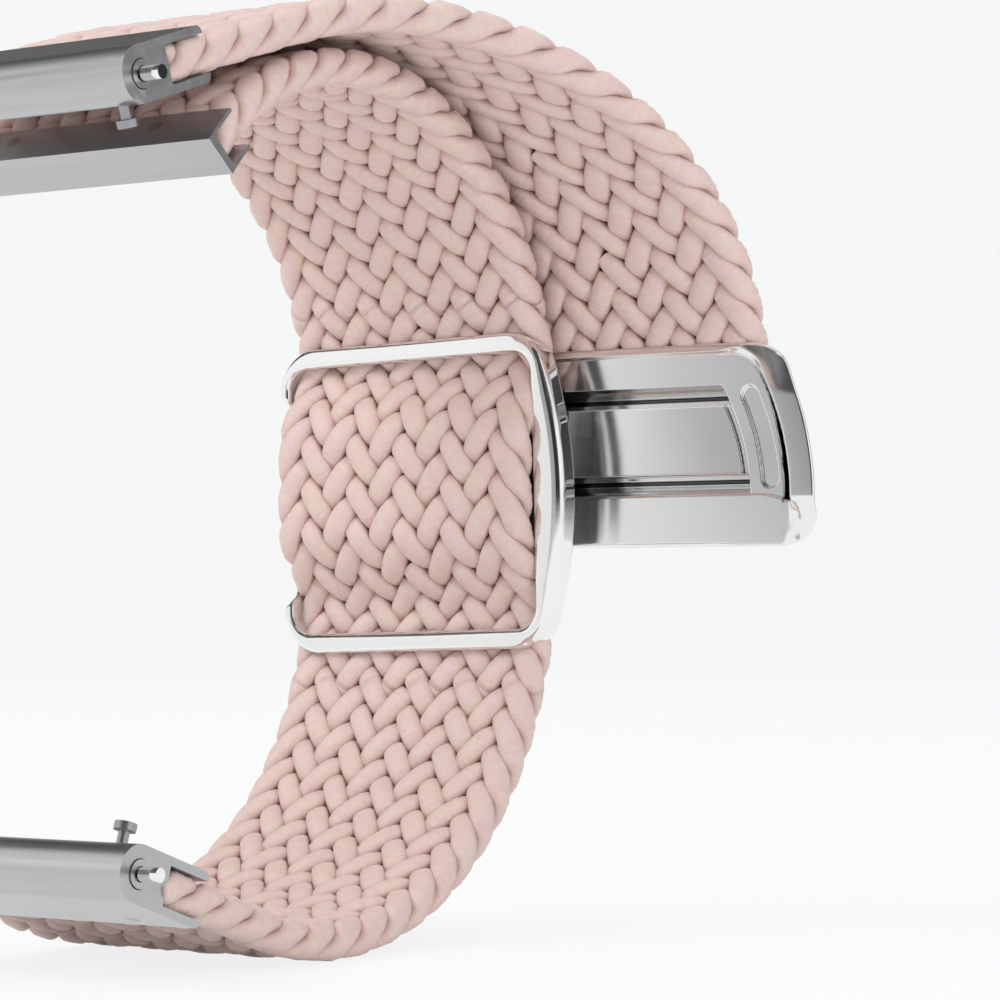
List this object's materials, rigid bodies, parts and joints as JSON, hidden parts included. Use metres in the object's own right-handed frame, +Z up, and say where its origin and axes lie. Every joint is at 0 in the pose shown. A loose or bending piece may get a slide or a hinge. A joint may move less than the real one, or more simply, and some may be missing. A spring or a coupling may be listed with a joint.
{
  "type": "watch strap",
  "caption": "Braided nylon watch strap with a polished sliding frame and a magnetic side-sliding clasp, shown open.",
  "frame": {"origin": "axis of the first spring bar, midway along it", "axes": "+X along the spring bars across the strap's width, towards the side the clasp slides open to; +Y from the lugs to the clasp side of the loop; +Z up, from the first spring bar to the second"},
  "size_m": [0.0434, 0.0519, 0.063],
  "materials": {
    "nylon": "braided nylon yarn",
    "polished_steel": "mirror polished stainless steel",
    "steel": "brushed stainless steel",
    "spring_steel": "drawn wire",
    "magnet": "nickel plated magnet"
  },
  "bodies": {
    "lug_end_a": {"lug_fitting_a": "steel", "fitting_pins_a": "steel", "bar_tube_a": "steel", "bar_fixed_tip_a": "steel", "bar_spring_a": "spring_steel", "strap_a_lower": "nylon"},
    "bar_tip_a": {"bar_sliding_tip_a": "steel", "bar_lever_a": "steel"},
    "slider": {"slider_frame": "polished_steel", "strap_carrier": "steel", "carrier_pins": "steel", "carrier_magnets": "magnet", "magnet_cover": "steel", "strap_a_window": "nylon", "strap_a_tail": "nylon"},
    "tail_end": {"tail_clamp": "steel", "tail_rivets": "steel"},
    "clasp": {"clasp_cover": "polished_steel", "clasp_guide": "polished_steel", "clasp_magnets": "magnet", "strap_clamp_bar": "steel", "clamp_pins": "steel", "strap_b": "nylon"},
    "lug_end_b": {"lug_fitting_b": "steel", "fitting_pins_b": "steel", "bar_tube_b": "steel", "bar_fixed_tip_b": "steel", "bar_spring_b": "spring_steel"},
    "bar_tip_b": {"bar_sliding_tip_b": "steel", "bar_lever_b": "steel"}
  },
  "joints": [
    {"name": "slider_adjust", "type": "slide", "parent": "lug_end_a", "child": "slider", "axis": [0, 0, 1], "range_m": [-0.006, 0.006], "deforming": ["strap_a_lower"]},
    {"name": "tail_feed", "type": "hinge", "parent": "slider", "child": "tail_end", "pos_m": [0, 0.0235, 0.0301], "axis": [1, 0, 0], "range_deg": [-16.1, 16.1], "deforming": ["strap_a_tail"]},
    {"name": "clasp_slide", "type": "slide", "parent": "slider", "child": "clasp", "axis": [1, 0, 0], "range_m": [-0.016, 0]},
    {"name": "strap_b_flex", "type": "slide", "parent": "clasp", "child": "lug_end_b", "axis": [1, 0, 0], "range_m": [0, 0.016], "deforming": ["strap_b"]},
    {"name": "bar_tip_slide_a", "type": "slide", "parent": "lug_end_a", "child": "bar_tip_a", "axis": [-1, 0, 0], "range_m": [0, 0.0012], "stiffness_N_per_m": 40, "springref_m": -0.002, "deforming": ["bar_spring_a"]},
    {"name": "bar_tip_slide_b", "type": "slide", "parent": "lug_end_b", "child": "bar_tip_b", "axis": [-1, 0, 0], "range_m": [0, 0.0012], "stiffness_N_per_m": 40, "springref_m": -0.002, "deforming": ["bar_spring_b"]}
  ],
  "couplings": [
    {"joint": "tail_feed", "follows": "slider_adjust", "rad_per_m": -46.512},
    {"joint": "strap_b_flex", "follows": "clasp_slide", "ratio": -1}
  ]
}
